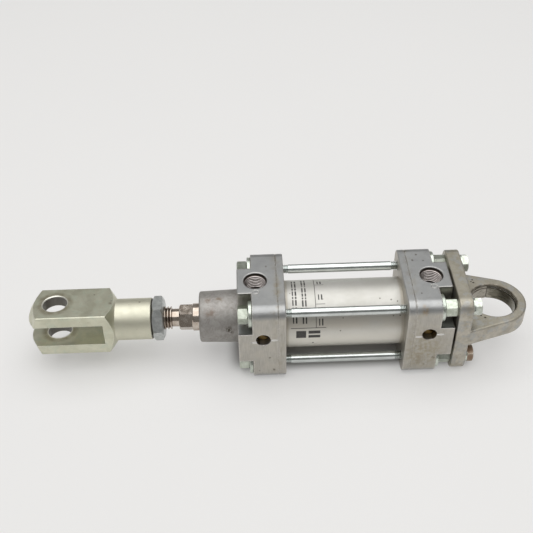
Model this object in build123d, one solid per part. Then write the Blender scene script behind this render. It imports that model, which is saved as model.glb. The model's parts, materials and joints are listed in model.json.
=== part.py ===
from build123d import *
import math
import os

# Tie-rod pneumatic cylinder, bore 25 mm, stroke 15 mm, with a rod fork and a rear eye bracket.
# Millimetres. The origin is the centre of the rear eye bore. +X runs along the cylinder axis
# towards the eye, so the rod leaves towards -X. +Z is the side that carries the air ports.

# ---- driving dimensions -------------------------------------------------------------------
BORE = 25.0
STROKE = 15.0
ROD_D = 12.0
TUBE_OD = 29.0
COVER_SIDE = 40.0
COVER_CORNER_R = 5.0
BARREL_LENGTH = 50.0         # between the two cover faces
COVER_BODY = 14.0            # cover face to the tie-rod seats
COVER_ARM = 6.0              # seats to the outer face of the cross-shaped end
TIE_PITCH = 27.5
TIE_D = 4.0
TIE_PITCH_OF_THREAD = 0.7
PORT_FROM_FACE = 12.2
PORT_MAJOR_D = 9.73          # G1/8
CUSHION_FROM_FACE = 9.6
CUSHION_Z = 4.5
NOSE_D = 22.0
NOSE_LENGTH = 16.5
EYE_TO_FLANGE = 20.0         # eye centre to the flange's mounting face
FLANGE_SIDE = 39.0
FLANGE_T = 6.0
LUG_T = 8.0
EYE_OUTER_R = 14.0
EYE_SEAT_R = 10.0
EYE_BORE_R = 9.5
FORK_SIDE = 20.0             # ISO 8140 fork for M10x1.25
FORK_LENGTH = 53.6
FORK_HOLE_TO_FACE = 41.1
FORK_SLOT = 10.0
FORK_HOLE_R = 5.0
FORK_NECK_R = 9.0
ROD_THREAD_D = 10.0
ROD_THREAD_PITCH = 1.25
ROD_HEX_AF = 10.0
FORK_FACE_FROM_NOSE = 20.4
JAM_NUT_AF = 17.0
JAM_NUT_L = 5.0              # thin nut
ROD_TURN = -4.3              # degrees that the rod and fork stand turned about the axis
PRESS_GAP = 0.03             # radial gap that keeps threaded and pressed pieces apart
RUN_GAP = 0.04               # radial running clearance of seals and guides
END_GAP = 0.1                # left at each end of the stroke

# ---- stations along the axis --------------------------------------------------------------
flange_in = -EYE_TO_FLANGE
flange_out = flange_in + FLANGE_T
rear_arm = flange_in - 1.0   # the bracket stands on the tie-rod nuts, clear of the cover
rear_seat = rear_arm - COVER_ARM
rear_face = rear_seat - COVER_BODY
front_face = rear_face - BARREL_LENGTH
front_seat = front_face - COVER_BODY
front_arm = front_seat - COVER_ARM
nose_end = front_arm - NOSE_LENGTH
fork_face = nose_end - FORK_FACE_FROM_NOSE
fork_hole = fork_face - FORK_HOLE_TO_FACE
fork_tip = fork_face - FORK_LENGTH

SPIGOT = 5.0                 # how far each cover reaches into the tube
TUBE_SEAT = 4.0              # how deep the tube stands in each cover
SPIGOT_R = BORE / 2 - 0.05
RECESS_R = 8.5
FRONT_RECESS = 15.5
REAR_RECESS = 15.0
SLEEVE_R = 8.0
SLEEVE_L = 10.0
CUSHION_SEAL_R = 9.7
CUSHION_SEAL_W = 3.5
O_RING_R = 0.65              # section radius of the tube O-rings
O_RING_GROOVE = 2.0
ROD_STUD_R = 4.0             # M8 stud that carries the piston

piston_rear = rear_face - SPIGOT - END_GAP
piston_length = BARREL_LENGTH - 2 * SPIGOT - STROKE - 2 * END_GAP
piston_front = piston_rear - piston_length
tie_corners = [(sy * TIE_PITCH / 2, sz * TIE_PITCH / 2) for sy in (-1, 1) for sz in (-1, 1)]


# ---- shape helpers ------------------------------------------------------------------------
def bar(r, x0, x1, y=0.0, z=0.0):
    """Round bar along X."""
    return Pos((x0 + x1) / 2, y, z) * Rot(0, 90, 0) * Cylinder(r, x1 - x0)


def tube_between(r_in, r_out, x0, x1):
    return bar(r_out, x0, x1) - bar(r_in, x0 - 1, x1 + 1)


def turned(points):
    """Solid of revolution about X from (x, radius) points."""
    face = make_face(Polyline(*[(x, 0, r) for x, r in points], close=True))
    return revolve(face, Axis.X)


def square_bar(side, corner_r, x0, x1):
    outline = Plane.YZ.offset(x0) * RectangleRounded(side, side, corner_r)
    return extrude(outline, amount=x1 - x0)


def hex_bar(across_flats, x0, x1, turn=0.0):
    """Hexagonal bar along X; at turn 0 a flat faces +Z."""
    outline = RegularPolygon(across_flats / 2, 6, major_radius=False)
    return extrude(Plane.YZ.offset(x0) * Rot(0, 0, turn) * outline, amount=x1 - x0)


def hex_nut(across_flats, x0, x1, hole_r, turn=0.0, ends=(True, True)):
    """Hexagon with the 30 degree corner chamfers of a nut or a bolt head."""
    corner_r = across_flats / math.sqrt(3)
    rim_r = across_flats / 2 * 0.95
    drop = (corner_r - rim_r) * math.tan(math.radians(30))
    left = [(x0, 0), (x0, rim_r), (x0 + drop, corner_r)] if ends[0] else [(x0, 0), (x0, corner_r)]
    right = [(x1 - drop, corner_r), (x1, rim_r), (x1, 0)] if ends[1] else [(x1, corner_r), (x1, 0)]
    nut = hex_bar(across_flats, x0, x1, turn) & turned(left + right)
    return nut - bar(hole_r, x0 - 1, x1 + 1) if hole_r else nut


def thread_points(x0, x1, major_r, pitch):
    """Profile of ring grooves with a thread's pitch and depth, from x0 to x1."""
    depth = 0.6 * pitch
    crest = 0.16 * pitch
    count = int((x1 - x0) / pitch)
    points = []
    for i in range(count):
        start = x0 + i * pitch
        middle = start + pitch / 2
        points += [(start + crest / 2, major_r), (middle - 0.05, major_r - depth)]
        points += [(middle + 0.05, major_r - depth), (start + pitch - crest / 2, major_r)]
    return points


def ring_torus(x, centre_r, section_r):
    return Pos(x, 0, 0) * Rot(0, 90, 0) * Torus(centre_r, section_r)


def at_corners(piece_for):
    """One solid at each tie-rod corner; piece_for takes the corner's number."""
    return [Pos(0, y, z) * piece_for(i) for i, (y, z) in enumerate(tie_corners)]


# ---- covers -------------------------------------------------------------------------------
def cover_block(face, outward):
    """Rounded square body with a cross-shaped end; outward is -1 at the front, +1 at the rear."""
    seat = face + outward * COVER_BODY
    arm = seat + outward * COVER_ARM
    low, high = sorted((face, arm))
    block = square_bar(COVER_SIDE, COVER_CORNER_R, low, high)
    block = fillet(block.faces().filter_by(Axis.X).edges(), 0.5)
    pocket_in = 7.3
    pocket_r = 4.0
    reach = COVER_SIDE / 2 - pocket_in + 2
    middle = pocket_in + reach / 2
    pocket = extrude(Plane.YZ.offset(seat) * RectangleRounded(reach, reach, pocket_r),
                     amount=outward * (COVER_ARM + 1))
    for sy in (-1, 1):
        for sz in (-1, 1):
            block -= Pos(0, sy * middle, sz * middle) * pocket
    groove_x = face + outward * 3.2
    rim = square_bar(COVER_SIDE + 2, COVER_CORNER_R, groove_x - 0.2, groove_x + 0.2)
    core = square_bar(COVER_SIDE - 0.3, COVER_CORNER_R, groove_x - 1, groove_x + 1)
    return block - (rim - core)


def cover_inside(cover, face, outward):
    """Tube seat, spigot, cushion chamber, air port, cushion-screw hole and tie-rod holes."""
    def x_at(distance):
        return face + outward * distance

    def span(a, b):
        return sorted((x_at(a), x_at(b)))

    cover += bar(SPIGOT_R, *span(-SPIGOT, 1))
    cover -= tube_between(SPIGOT_R, TUBE_OD / 2 + 0.05, *span(0, TUBE_SEAT))
    cover -= tube_between(SPIGOT_R - 2 * O_RING_R + 0.05, BORE / 2, *span(1.4, 1.4 + O_RING_GROOVE))
    depth = FRONT_RECESS if outward < 0 else REAR_RECESS
    cover -= bar(RECESS_R, *span(-SPIGOT - 1, depth))
    cover -= bar(CUSHION_SEAL_R, *span(-SPIGOT + 0.5, -SPIGOT + 0.5 + CUSHION_SEAL_W))
    top = COVER_SIDE / 2
    port_x = x_at(PORT_FROM_FACE)
    port_r = PORT_MAJOR_D / 2
    cover -= Pos(port_x, 0, top - 4.25) * Cylinder(port_r, 8.5 + 0.001)
    cover -= Pos(port_x, 0, (top + RECESS_R - 2) / 2) * Cylinder(4.25, top - RECESS_R + 2)
    cover -= Pos(port_x, 0, top) * Cone(port_r, port_r + 0.6, 0.6)
    mark = Pos(port_x, -7.2, top) * (Cylinder(1.35, 0.3) - Cylinder(1.0, 0.3))
    cover -= mark
    cushion_x = x_at(CUSHION_FROM_FACE)
    for radius, outer, inner in ((3.1, -21, -14.6), (2.5, -15, -10.4), (1.3, -11, -6.5)):
        drill = Rot(90, 0, 0) * Cylinder(radius, inner - outer)
        cover -= Pos(cushion_x, (outer + inner) / 2, CUSHION_Z) * drill
    cover -= bar(0.5, *span(-SPIGOT - 1, CUSHION_FROM_FACE), y=-9.4, z=CUSHION_Z)
    for start, end, z in ((-5.1, -3.0, -1.2), (3.0, 6.3, -0.2)):
        stake = Pos(cushion_x + (start + end) / 2, -top, CUSHION_Z + z)
        cover -= stake * Rot(45, 0, 0) * Box(end - start, 0.5, 0.5)
    for y, z in tie_corners:
        cover -= bar(TIE_D / 2 + 0.2, *span(-1, COVER_BODY + 1), y=y, z=z)
    return cover


SEAL_X0 = nose_end + 1.0
SEAL_X1 = SEAL_X0 + 4.0
SEAL_POCKET_R = 9.0
BUSH_R = 7.0


def front_cover():
    draft = 0.5
    nose = turned([(nose_end, 0), (nose_end, NOSE_D / 2 - 0.5), (nose_end + 0.5, NOSE_D / 2),
                   (front_arm, NOSE_D / 2 + draft), (front_arm + 1, NOSE_D / 2 + draft),
                   (front_arm + 1, 0)])
    cover = cover_inside(cover_block(front_face, -1) + nose, front_face, -1)
    cover -= bar(ROD_D / 2 + 1.2, nose_end - 1, SEAL_X0 + 0.5)
    cover -= bar(SEAL_POCKET_R, SEAL_X0, SEAL_X1)
    cover -= bar(BUSH_R, SEAL_X1 - 0.5, front_face - FRONT_RECESS + 0.5)
    return cover


def rear_cover():
    return cover_inside(cover_block(rear_face, 1), rear_face, 1)


def rod_bush():
    bush = tube_between(ROD_D / 2 + RUN_GAP / 2, BUSH_R - PRESS_GAP,
                        SEAL_X1 + 0.5, front_face - FRONT_RECESS - 0.5)
    return chamfer(bush.edges().filter_by(GeomType.CIRCLE).group_by(SortBy.RADIUS)[-1], 0.4)


def rod_seal():
    """Combined rod seal and wiper, with a wiping lip at the front and a sealing lip behind."""
    inner = ROD_D / 2 + RUN_GAP
    outer = SEAL_POCKET_R - PRESS_GAP
    x0, x1 = SEAL_X0 + 0.05, SEAL_X1 - 0.05
    return turned([(x0, outer), (x0, inner + 0.9), (x0 - 0.7, inner + 0.25), (x0 - 0.7, inner),
                   (x0 + 0.9, inner + 0.35), (x0 + 2.2, inner + 0.35), (x1 - 0.2, inner),
                   (x1, inner + 0.3), (x0 + 2.4, inner + 1.1), (x1, outer - 0.5), (x1, outer)])


# ---- barrel and tie rods ------------------------------------------------------------------
def barrel_tube():
    tube = tube_between(BORE / 2, TUBE_OD / 2, front_face - TUBE_SEAT, rear_face + TUBE_SEAT)
    return chamfer(tube.edges().filter_by(GeomType.CIRCLE), 0.3)


WASHER_T = 1.6
WASHER_R = 5.7
FRONT_NUT_L = COVER_ARM - WASHER_T
NUT_AF = 7.0
SCREW_LENGTH = 10.0
SCREW_HEAD = 2.8
LOCK_WASHER_T = 1.2
screw_seat = flange_out + LOCK_WASHER_T
tie_front_end = front_arm + 1.0
tie_rear_end = screw_seat - SCREW_LENGTH - 0.2
FRONT_NUT_TURNS = (12.0, -20.0, 5.0, -8.0)
REAR_NUT_TURNS = (-6.0, 22.0, 9.0, -14.0)
SCREW_TURNS = (25.0, 17.0, -10.0, 26.0)


def tie_rod(corner):
    r = TIE_D / 2
    shown = 2.8
    front = thread_points(front_seat - 4.6, front_face + shown, r, TIE_PITCH_OF_THREAD)
    rear = thread_points(rear_face - shown, rear_seat + 3.6, r, TIE_PITCH_OF_THREAD)
    ends = ([(tie_front_end, 0), (tie_front_end, r - 0.3), (tie_front_end + 0.3, r)],
            [(tie_rear_end - 0.3, r), (tie_rear_end, r - 0.3), (tie_rear_end, 0)])
    return turned(ends[0] + front + rear + ends[1])


def washer(x0, x1):
    ring = tube_between(TIE_D / 2 + 0.2, WASHER_R, x0, x1)
    return chamfer(ring.edges().filter_by(GeomType.CIRCLE).group_by(SortBy.RADIUS)[-1], 0.25)


def front_tie_rod_nut(corner):
    return hex_nut(NUT_AF, front_arm, front_arm + FRONT_NUT_L, TIE_D / 2 + PRESS_GAP,
                   FRONT_NUT_TURNS[corner])


def rear_tie_rod_nut(corner):
    return hex_nut(NUT_AF, rear_seat + WASHER_T, flange_in, TIE_D / 2 + PRESS_GAP,
                   REAR_NUT_TURNS[corner])


def bracket_screw(corner):
    head = hex_nut(NUT_AF, screw_seat, screw_seat + SCREW_HEAD, 0, SCREW_TURNS[corner],
                   ends=(False, True))
    tip = screw_seat - SCREW_LENGTH
    r = TIE_D / 2
    shank = turned([(tip, 0), (tip, r - 0.4), (tip + 0.4, r), (screw_seat + 0.5, r),
                    (screw_seat + 0.5, 0)])
    return head + shank


def bracket_lock_washer(corner):
    """Split spring washer; the slit lies across the ring at a slant."""
    ring = tube_between(TIE_D / 2 + 0.15, 3.8, flange_out, screw_seat)
    middle_x = (flange_out + screw_seat) / 2
    slit = Pos(middle_x, 0, 3.0) * Rot(0, 0, 25) * Box(3.0, 0.5, 3.0)
    return Rot(35 * corner + 40, 0, 0) * (ring - slit)


# ---- rear eye bracket ---------------------------------------------------------------------
SNAP_GROOVE_Z = 2.0
SNAP_GROOVE_T = 1.1


def eye_bracket():
    flange = square_bar(FLANGE_SIDE, 5.0, flange_in, flange_out)
    flange = fillet(flange.faces().filter_by(Axis.X).edges(), 0.6)
    base_y = FLANGE_SIDE / 2 - 0.4
    reach = math.hypot(flange_out, base_y)
    touch = math.atan2(base_y, flange_out) - math.acos(EYE_OUTER_R / reach)
    touch_x, touch_y = EYE_OUTER_R * math.cos(touch), EYE_OUTER_R * math.sin(touch)
    outline = (Line((flange_in + 1, base_y), (flange_out, base_y))
               + Line((flange_out, base_y), (touch_x, touch_y))
               + ThreePointArc((touch_x, touch_y), (EYE_OUTER_R, 0), (touch_x, -touch_y))
               + Line((touch_x, -touch_y), (flange_out, -base_y))
               + Line((flange_out, -base_y), (flange_in + 1, -base_y))
               + Line((flange_in + 1, -base_y), (flange_in + 1, base_y)))
    lug = extrude(make_face(outline), amount=LUG_T / 2, both=True)
    lug = fillet(lug.faces().filter_by(Axis.Z).edges(), 0.8)
    cove_r = 1.5
    cove_z = LUG_T / 2 + cove_r / 2
    cove = Box(cove_r, 2 * base_y - 1.6, cove_r)
    cove -= Pos(cove_r / 2, 0, cove_r / 2) * Rot(90, 0, 0) * Cylinder(cove_r, FLANGE_SIDE)
    bracket = flange + lug
    for flip in (0, 180):
        bracket += Rot(flip, 0, 0) * Pos(flange_out + cove_r / 2, 0, cove_z) * cove
    bracket -= Cylinder(EYE_SEAT_R, LUG_T + 2)
    mouth = Cone(EYE_SEAT_R, EYE_SEAT_R + 0.4, 0.4)
    bracket -= Pos(0, 0, LUG_T / 2 - 0.2) * mouth
    bracket -= Pos(0, 0, 0.2 - LUG_T / 2) * Rot(180, 0, 0) * mouth
    groove = Cylinder(EYE_SEAT_R + 0.7, SNAP_GROOVE_T) - Cylinder(EYE_SEAT_R - 1, SNAP_GROOVE_T)
    bracket -= Pos(0, 0, SNAP_GROOVE_Z + SNAP_GROOVE_T / 2) * groove
    for y, z in tie_corners:
        bracket -= bar(TIE_D / 2 + 0.3, flange_in - 1, flange_out + 1, y, z)
    return bracket


def eye_bush():
    """Thin rolled liner of the bearing seat, with its butt seam on the +Y side."""
    z0, z1 = -LUG_T / 2 + 0.4, SNAP_GROOVE_Z - 0.1
    liner = Cylinder(EYE_SEAT_R - PRESS_GAP, z1 - z0) - Cylinder(EYE_BORE_R, z1 - z0 + 1)
    seam = Rot(0, 0, 92) * Pos(EYE_SEAT_R, 0, 0) * Box(3, 0.35, z1 - z0 + 1)
    return Pos(0, 0, (z0 + z1) / 2) * (liner - seam)


def eye_snap_ring():
    """What is left of the snap ring: the half on the bracket side of the groove."""
    ring = Cylinder(EYE_SEAT_R + 0.6, 1.0) - Cylinder(EYE_BORE_R + 0.3, 2.0)
    away = Rot(0, 0, 3) * Pos(15, 0, 0) * Box(30, 40, 3)
    return Pos(0, 0, SNAP_GROOVE_Z + SNAP_GROOVE_T / 2) * (ring - away)


# ---- rod, piston and fork -----------------------------------------------------------------
THREAD_END = fork_face + 8.1
HEX_START = THREAD_END + 3.4
HEX_END = HEX_START + 5.7
shoulder = piston_front - SLEEVE_L
PISTON_NUT_AF = 13.0
PISTON_NUT_L = 5.0
rod_end = piston_rear + SLEEVE_L + PISTON_NUT_L + 1.0
rod_tip = fork_face - 18.1
O_RING_X = (piston_front + piston_rear) / 2


def with_rod(piece):
    """Turns a piece about the axis to the angle at which the rod stands."""
    return Rot(ROD_TURN, 0, 0) * piece


def piston_rod():
    thread_r = ROD_THREAD_D / 2
    r = ROD_D / 2
    hex_corner = ROD_HEX_AF / math.sqrt(3)
    front = [(rod_tip, 0), (rod_tip, thread_r - 1), (rod_tip + 1, thread_r)]
    threads = thread_points(rod_tip + 1.0, THREAD_END, thread_r, ROD_THREAD_PITCH)
    relief = [(THREAD_END, thread_r), (THREAD_END + 0.3, 3.9), (HEX_START, 3.9)]
    blank = [(HEX_START, hex_corner - 0.8), (HEX_START + 0.6, hex_corner), (HEX_END, hex_corner),
             (HEX_END + 0.4, r), (shoulder, r), (shoulder, ROD_STUD_R)]
    seal = [(O_RING_X - 0.6, ROD_STUD_R), (O_RING_X - 0.6, 3.2),
            (O_RING_X + 0.6, 3.2), (O_RING_X + 0.6, ROD_STUD_R)]
    rear = [(rod_end - 0.7, ROD_STUD_R), (rod_end, ROD_STUD_R - 0.7), (rod_end, 0)]
    rod = turned(front + threads + relief + blank + seal + rear)
    hex_zone = bar(ROD_D, HEX_START, HEX_END) - hex_bar(ROD_HEX_AF, HEX_START - 1, HEX_END + 1, 8.0)
    return with_rod(rod - hex_zone)


def cushion_sleeve(x0):
    sleeve = tube_between(ROD_STUD_R + PRESS_GAP, SLEEVE_R, x0, x0 + SLEEVE_L)
    return chamfer(sleeve.edges().filter_by(GeomType.CIRCLE).group_by(SortBy.RADIUS)[-1], 0.6)


SEAL_GROOVE_R = 9.6
SEAL_GROOVE_W = 3.2
SEAL_EDGE = 1.5
GUIDE_GROOVE_R = 11.4
GUIDE_W = 6.0
seal_starts = (piston_front + SEAL_EDGE, piston_rear - SEAL_EDGE - SEAL_GROOVE_W)
guide_start = (piston_front + piston_rear - GUIDE_W) / 2


def piston():
    body = tube_between(ROD_STUD_R + PRESS_GAP, BORE / 2 - 0.2, piston_front, piston_rear)
    body = chamfer(body.edges().filter_by(GeomType.CIRCLE).group_by(SortBy.RADIUS)[-1], 0.4)
    for start in seal_starts:
        body -= tube_between(SEAL_GROOVE_R, BORE / 2 + 1, start, start + SEAL_GROOVE_W)
    return body - tube_between(GUIDE_GROOVE_R, BORE / 2 + 1, guide_start, guide_start + GUIDE_W)


def piston_seal(start, outward):
    """Lip seal in its groove; the lip opens towards the pressure side."""
    low, high = SEAL_GROOVE_R + 0.05, BORE / 2 - RUN_GAP
    width = SEAL_GROOVE_W - 0.2
    heel, mouth = (0.1, 0.1 + width) if outward > 0 else (0.1 + width, 0.1)
    step = outward

    def x_at(distance):
        return start + heel + step * distance

    middle = (low + high) / 2
    return turned([(x_at(0), low), (x_at(0), high - 0.4), (start + mouth, high),
                   (start + mouth, high - 0.5), (x_at(1.3), middle), (start + mouth, low + 0.5),
                   (start + mouth, low)])


def piston_guide_ring():
    """Wear ring, cut once at a slant so that it can be sprung into its groove."""
    ring = tube_between(GUIDE_GROOVE_R + 0.05, BORE / 2 - RUN_GAP,
                        guide_start + 0.1, guide_start + GUIDE_W - 0.1)
    cut = Pos(guide_start + GUIDE_W / 2, 0, 12) * Rot(0, 0, 30) * Box(12, 0.6, 4)
    return ring - cut


def piston_nut():
    start = piston_rear + SLEEVE_L
    return with_rod(hex_nut(PISTON_NUT_AF, start, start + PISTON_NUT_L, ROD_STUD_R + PRESS_GAP))


def jam_nut():
    return with_rod(hex_nut(JAM_NUT_AF, fork_face, fork_face + JAM_NUT_L, ROD_THREAD_D / 2 + PRESS_GAP))


def fork_clevis():
    """Fork turned from square bar: domed and coned tip, slot with two ears, shoulder and neck."""
    dome_r = 16.0
    dome_edge_r = 10.0
    tip_cone_slope = 0.55
    blank_r = FORK_SIDE / 2 * math.sqrt(2) + 0.2

    def dome_point(r):
        return (fork_tip + dome_r - math.sqrt(dome_r ** 2 - r ** 2), 0, r)

    rim_x = dome_point(dome_edge_r)[0] + tip_cone_slope * (blank_r - dome_edge_r)
    neck_x = fork_face - 15.5
    cone_x = neck_x - 3.6
    outline = (ThreePointArc(dome_point(0), dome_point(dome_edge_r / 2), dome_point(dome_edge_r))
               + Polyline(dome_point(dome_edge_r), (rim_x, 0, blank_r), (cone_x, 0, blank_r), (neck_x, 0, FORK_NECK_R),
                          (fork_face - 0.5, 0, FORK_NECK_R), (fork_face, 0, FORK_NECK_R - 0.5),
                          (fork_face, 0, 0), (fork_tip, 0, 0)))
    blank = revolve(make_face(outline), Axis.X)
    square = extrude(Plane.YZ.offset(fork_tip - 1) * Rectangle(FORK_SIDE, FORK_SIDE),
                     amount=FORK_LENGTH + 2)
    square = chamfer(square.edges().filter_by(Axis.X), 0.4)
    fork = blank & square
    slot_end = fork_hole + 20.8
    fork -= Pos((fork_tip - 1 + slot_end) / 2, 0, 0) * Box(slot_end - fork_tip + 1, 30, FORK_SLOT)
    fork -= Pos(fork_hole, 0, 0) * Cylinder(FORK_HOLE_R, 30)
    mouth = Cone(FORK_HOLE_R, FORK_HOLE_R + 0.4, 0.4)
    for flip in (0, 180):
        fork -= Rot(flip, 0, 0) * Pos(fork_hole, 0, FORK_SIDE / 2 - 0.2) * mouth
    fork -= bar(ROD_THREAD_D / 2 + PRESS_GAP, slot_end - 1, fork_face + 1)
    return with_rod(fork)


# ---- cushion screws -----------------------------------------------------------------------
SCREW_OUT = -16.8            # y of the slotted end when the screw is home
SCREW_HEAD_R = 3.04


def along_y(points):
    """Solid of revolution about Y from (y, radius) points."""
    face = make_face(Polyline(*[(r, y, 0) for y, r in points], close=True))
    return revolve(face, Axis.Y)


def cushion_screw(cover_face, outward):
    groove_y = SCREW_OUT + 0.9
    screw = along_y([(SCREW_OUT, 0), (SCREW_OUT, SCREW_HEAD_R - 0.3), (SCREW_OUT + 0.3, SCREW_HEAD_R),
                     (groove_y, SCREW_HEAD_R), (groove_y, 2.05), (groove_y + 1.0, 2.05),
                     (groove_y + 1.0, SCREW_HEAD_R), (-14.7, SCREW_HEAD_R), (-14.7, 2.44),
                     (-11.4, 2.44), (-11.4, 1.5), (-8.4, 0.4), (-8.4, 0)])
    slot = Pos(0, SCREW_OUT, 0) * Rot(0, 28, 0) * Box(8, 1.4, 0.8)
    return Pos(cover_face + outward * CUSHION_FROM_FACE, 0, CUSHION_Z) * (screw - slot)


def cushion_screw_o_ring(cover_face, outward):
    ring = Rot(90, 0, 0) * Torus(2.58, 0.47)
    middle_y = SCREW_OUT + 1.4
    return Pos(cover_face + outward * CUSHION_FROM_FACE, middle_y, CUSHION_Z) * ring


def tube_o_ring(cover_face, outward):
    centre_r = BORE / 2 - O_RING_R
    return ring_torus(cover_face + outward * (1.4 + O_RING_GROOVE / 2), centre_r, O_RING_R - 0.01)


def cushion_seal(cover_face, outward):
    """Cushion lip seal in the mouth of the spigot, round the passing sleeve."""
    ends = sorted((cover_face - outward * (SPIGOT - 0.55),
                   cover_face - outward * (SPIGOT - 0.45 - CUSHION_SEAL_W)))
    seal = tube_between(SLEEVE_R + RUN_GAP, CUSHION_SEAL_R - PRESS_GAP, *ends)
    return chamfer(seal.edges().filter_by(GeomType.CIRCLE).group_by(SortBy.RADIUS)[0], 0.4)


# ---- the assembly -------------------------------------------------------------------------
nodes = {
    "front_cover": [front_cover()],
    "rear_cover": [rear_cover()],
    "barrel_tube": [barrel_tube()],
    "tie_rods": at_corners(tie_rod),
    "front_tie_rod_washers": at_corners(lambda i: washer(front_seat - WASHER_T, front_seat)),
    "rear_tie_rod_washers": at_corners(lambda i: washer(rear_seat, rear_seat + WASHER_T)),
    "front_tie_rod_nuts": at_corners(front_tie_rod_nut),
    "rear_tie_rod_nuts": at_corners(rear_tie_rod_nut),
    "eye_bracket": [eye_bracket()],
    "bracket_screws": at_corners(bracket_screw),
    "bracket_lock_washers": at_corners(bracket_lock_washer),
    "eye_bush": [eye_bush()],
    "eye_snap_ring": [eye_snap_ring()],
    "rod_bush": [rod_bush()],
    "rod_seal": [rod_seal()],
    "piston_rod": [piston_rod()],
    "piston": [piston()],
    "piston_seals": [piston_seal(seal_starts[0], -1), piston_seal(seal_starts[1], 1)],
    "piston_guide_ring": [piston_guide_ring()],
    "piston_o_ring": [ring_torus(O_RING_X, 3.6, 0.37)],
    "front_cushion_sleeve": [cushion_sleeve(shoulder)],
    "rear_cushion_sleeve": [cushion_sleeve(piston_rear)],
    "piston_nut": [piston_nut()],
    "jam_nut": [jam_nut()],
    "fork_clevis": [fork_clevis()],
}
for side, cover_face, outward in (("front", front_face, -1), ("rear", rear_face, 1)):
    nodes[side + "_tube_o_ring"] = [tube_o_ring(cover_face, outward)]
    nodes[side + "_cushion_seal"] = [cushion_seal(cover_face, outward)]
    nodes[side + "_cushion_screw"] = [cushion_screw(cover_face, outward)]
    nodes[side + "_cushion_screw_o_ring"] = [cushion_screw_o_ring(cover_face, outward)]

os.makedirs("parts", exist_ok=True)
for name, solids in nodes.items():
    shape = solids[0] if len(solids) == 1 else Compound(children=solids)
    export_step(shape, os.path.join("parts", name + ".step"))
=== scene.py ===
import json
import math

import bmesh
import bpy
from mathutils import Matrix, Vector


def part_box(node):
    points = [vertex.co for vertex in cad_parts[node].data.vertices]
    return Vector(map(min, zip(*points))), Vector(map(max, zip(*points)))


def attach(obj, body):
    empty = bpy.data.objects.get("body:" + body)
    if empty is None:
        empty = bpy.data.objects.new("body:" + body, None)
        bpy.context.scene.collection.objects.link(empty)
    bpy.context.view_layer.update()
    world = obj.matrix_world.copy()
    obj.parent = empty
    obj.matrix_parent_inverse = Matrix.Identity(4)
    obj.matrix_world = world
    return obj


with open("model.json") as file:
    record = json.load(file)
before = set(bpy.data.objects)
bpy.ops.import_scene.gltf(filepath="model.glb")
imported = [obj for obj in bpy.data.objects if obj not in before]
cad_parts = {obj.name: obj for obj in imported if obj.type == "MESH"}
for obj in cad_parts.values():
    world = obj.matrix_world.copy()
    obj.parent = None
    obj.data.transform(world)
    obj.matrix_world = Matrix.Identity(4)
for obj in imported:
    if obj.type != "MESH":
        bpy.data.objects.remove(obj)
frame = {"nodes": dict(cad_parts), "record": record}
NODES, RECORD = frame["nodes"], frame["record"]
MM = 0.001
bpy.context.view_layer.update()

MOUNTS = {m["name"]: m for m in RECORD["mounts"]}
# places and sizes below are in millimetres
TUBE_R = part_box("barrel_tube")[1].z / MM         # outer radius of the tube, which is on the axis
TUBE_DARK_RING_X = (-90.6, -41.4)                    # darker rings on the tube, beside the covers
COVER_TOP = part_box("rear_cover")[1].z / MM
FRONT_FACE = -91.0                               # front cover's barrel face
SEAM_X = {"front": -94.2, "rear": -37.8}         # groove round each cover
NOSE_X = -111.0                                  # the front cover's nose runs from here towards -X
PORT_X = {side: MOUNTS[side + "_port"]["pos_m"][0] / MM for side in ("front", "rear")}
PORT_WALL_R = MOUNTS["front_port"]["dims"]["r_mm"]
SCREW_Z, SCREW_HOLE_R = 4.8, 3.2                 # cushion screw hole in the -Y side of each cover
FORK_HOLE_X = MOUNTS["fork_bore"]["pos_m"][0] / MM
FORK_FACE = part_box("fork_clevis")[1].x / MM      # end of its neck, where the locknut bears
FORK_NECK_X = (-164.6, -163.6)                   # where its square goes over into the neck
FORK_TURN = math.degrees(math.atan2(MOUNTS["fork_bore"]["axis"][1], MOUNTS["fork_bore"]["axis"][2]))
LINER_SEAT_R = 10.15                             # edge of the seat in the eye
LOWER_SCREW = (-11.4, -13.75, -13.75)            # head of the brown bracket screw


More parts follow.
